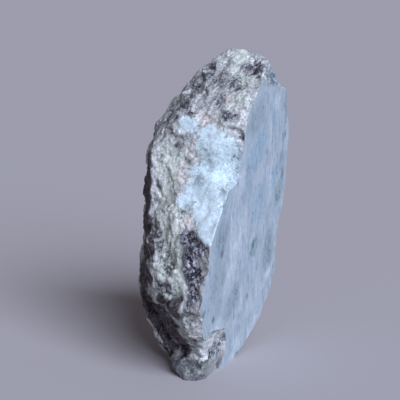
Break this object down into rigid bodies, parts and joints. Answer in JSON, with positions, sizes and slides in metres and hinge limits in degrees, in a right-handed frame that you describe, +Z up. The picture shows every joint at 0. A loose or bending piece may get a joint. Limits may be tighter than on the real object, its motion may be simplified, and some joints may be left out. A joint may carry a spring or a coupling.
{
  "type": "rough larimar",
  "caption": "Upright slab of rough larimar, one side sawn flat and the others left broken, standing on a small flat foot.",
  "frame": {"origin": "on the surface that the stone stands on, under the middle of its outline seen from above", "axes": "+Z up; +X the way the sawn face looks; +Y level along the sawn face, from its near edge to its far edge"},
  "size_m": [0.0451, 0.0686, 0.0996],
  "materials": {
    "larimar_rock": "matt broken rock, pale blue where it is sawn"
  },
  "bodies": {
    "root": {"larimar_stone": "larimar_rock"}
  },
  "joints": []
}
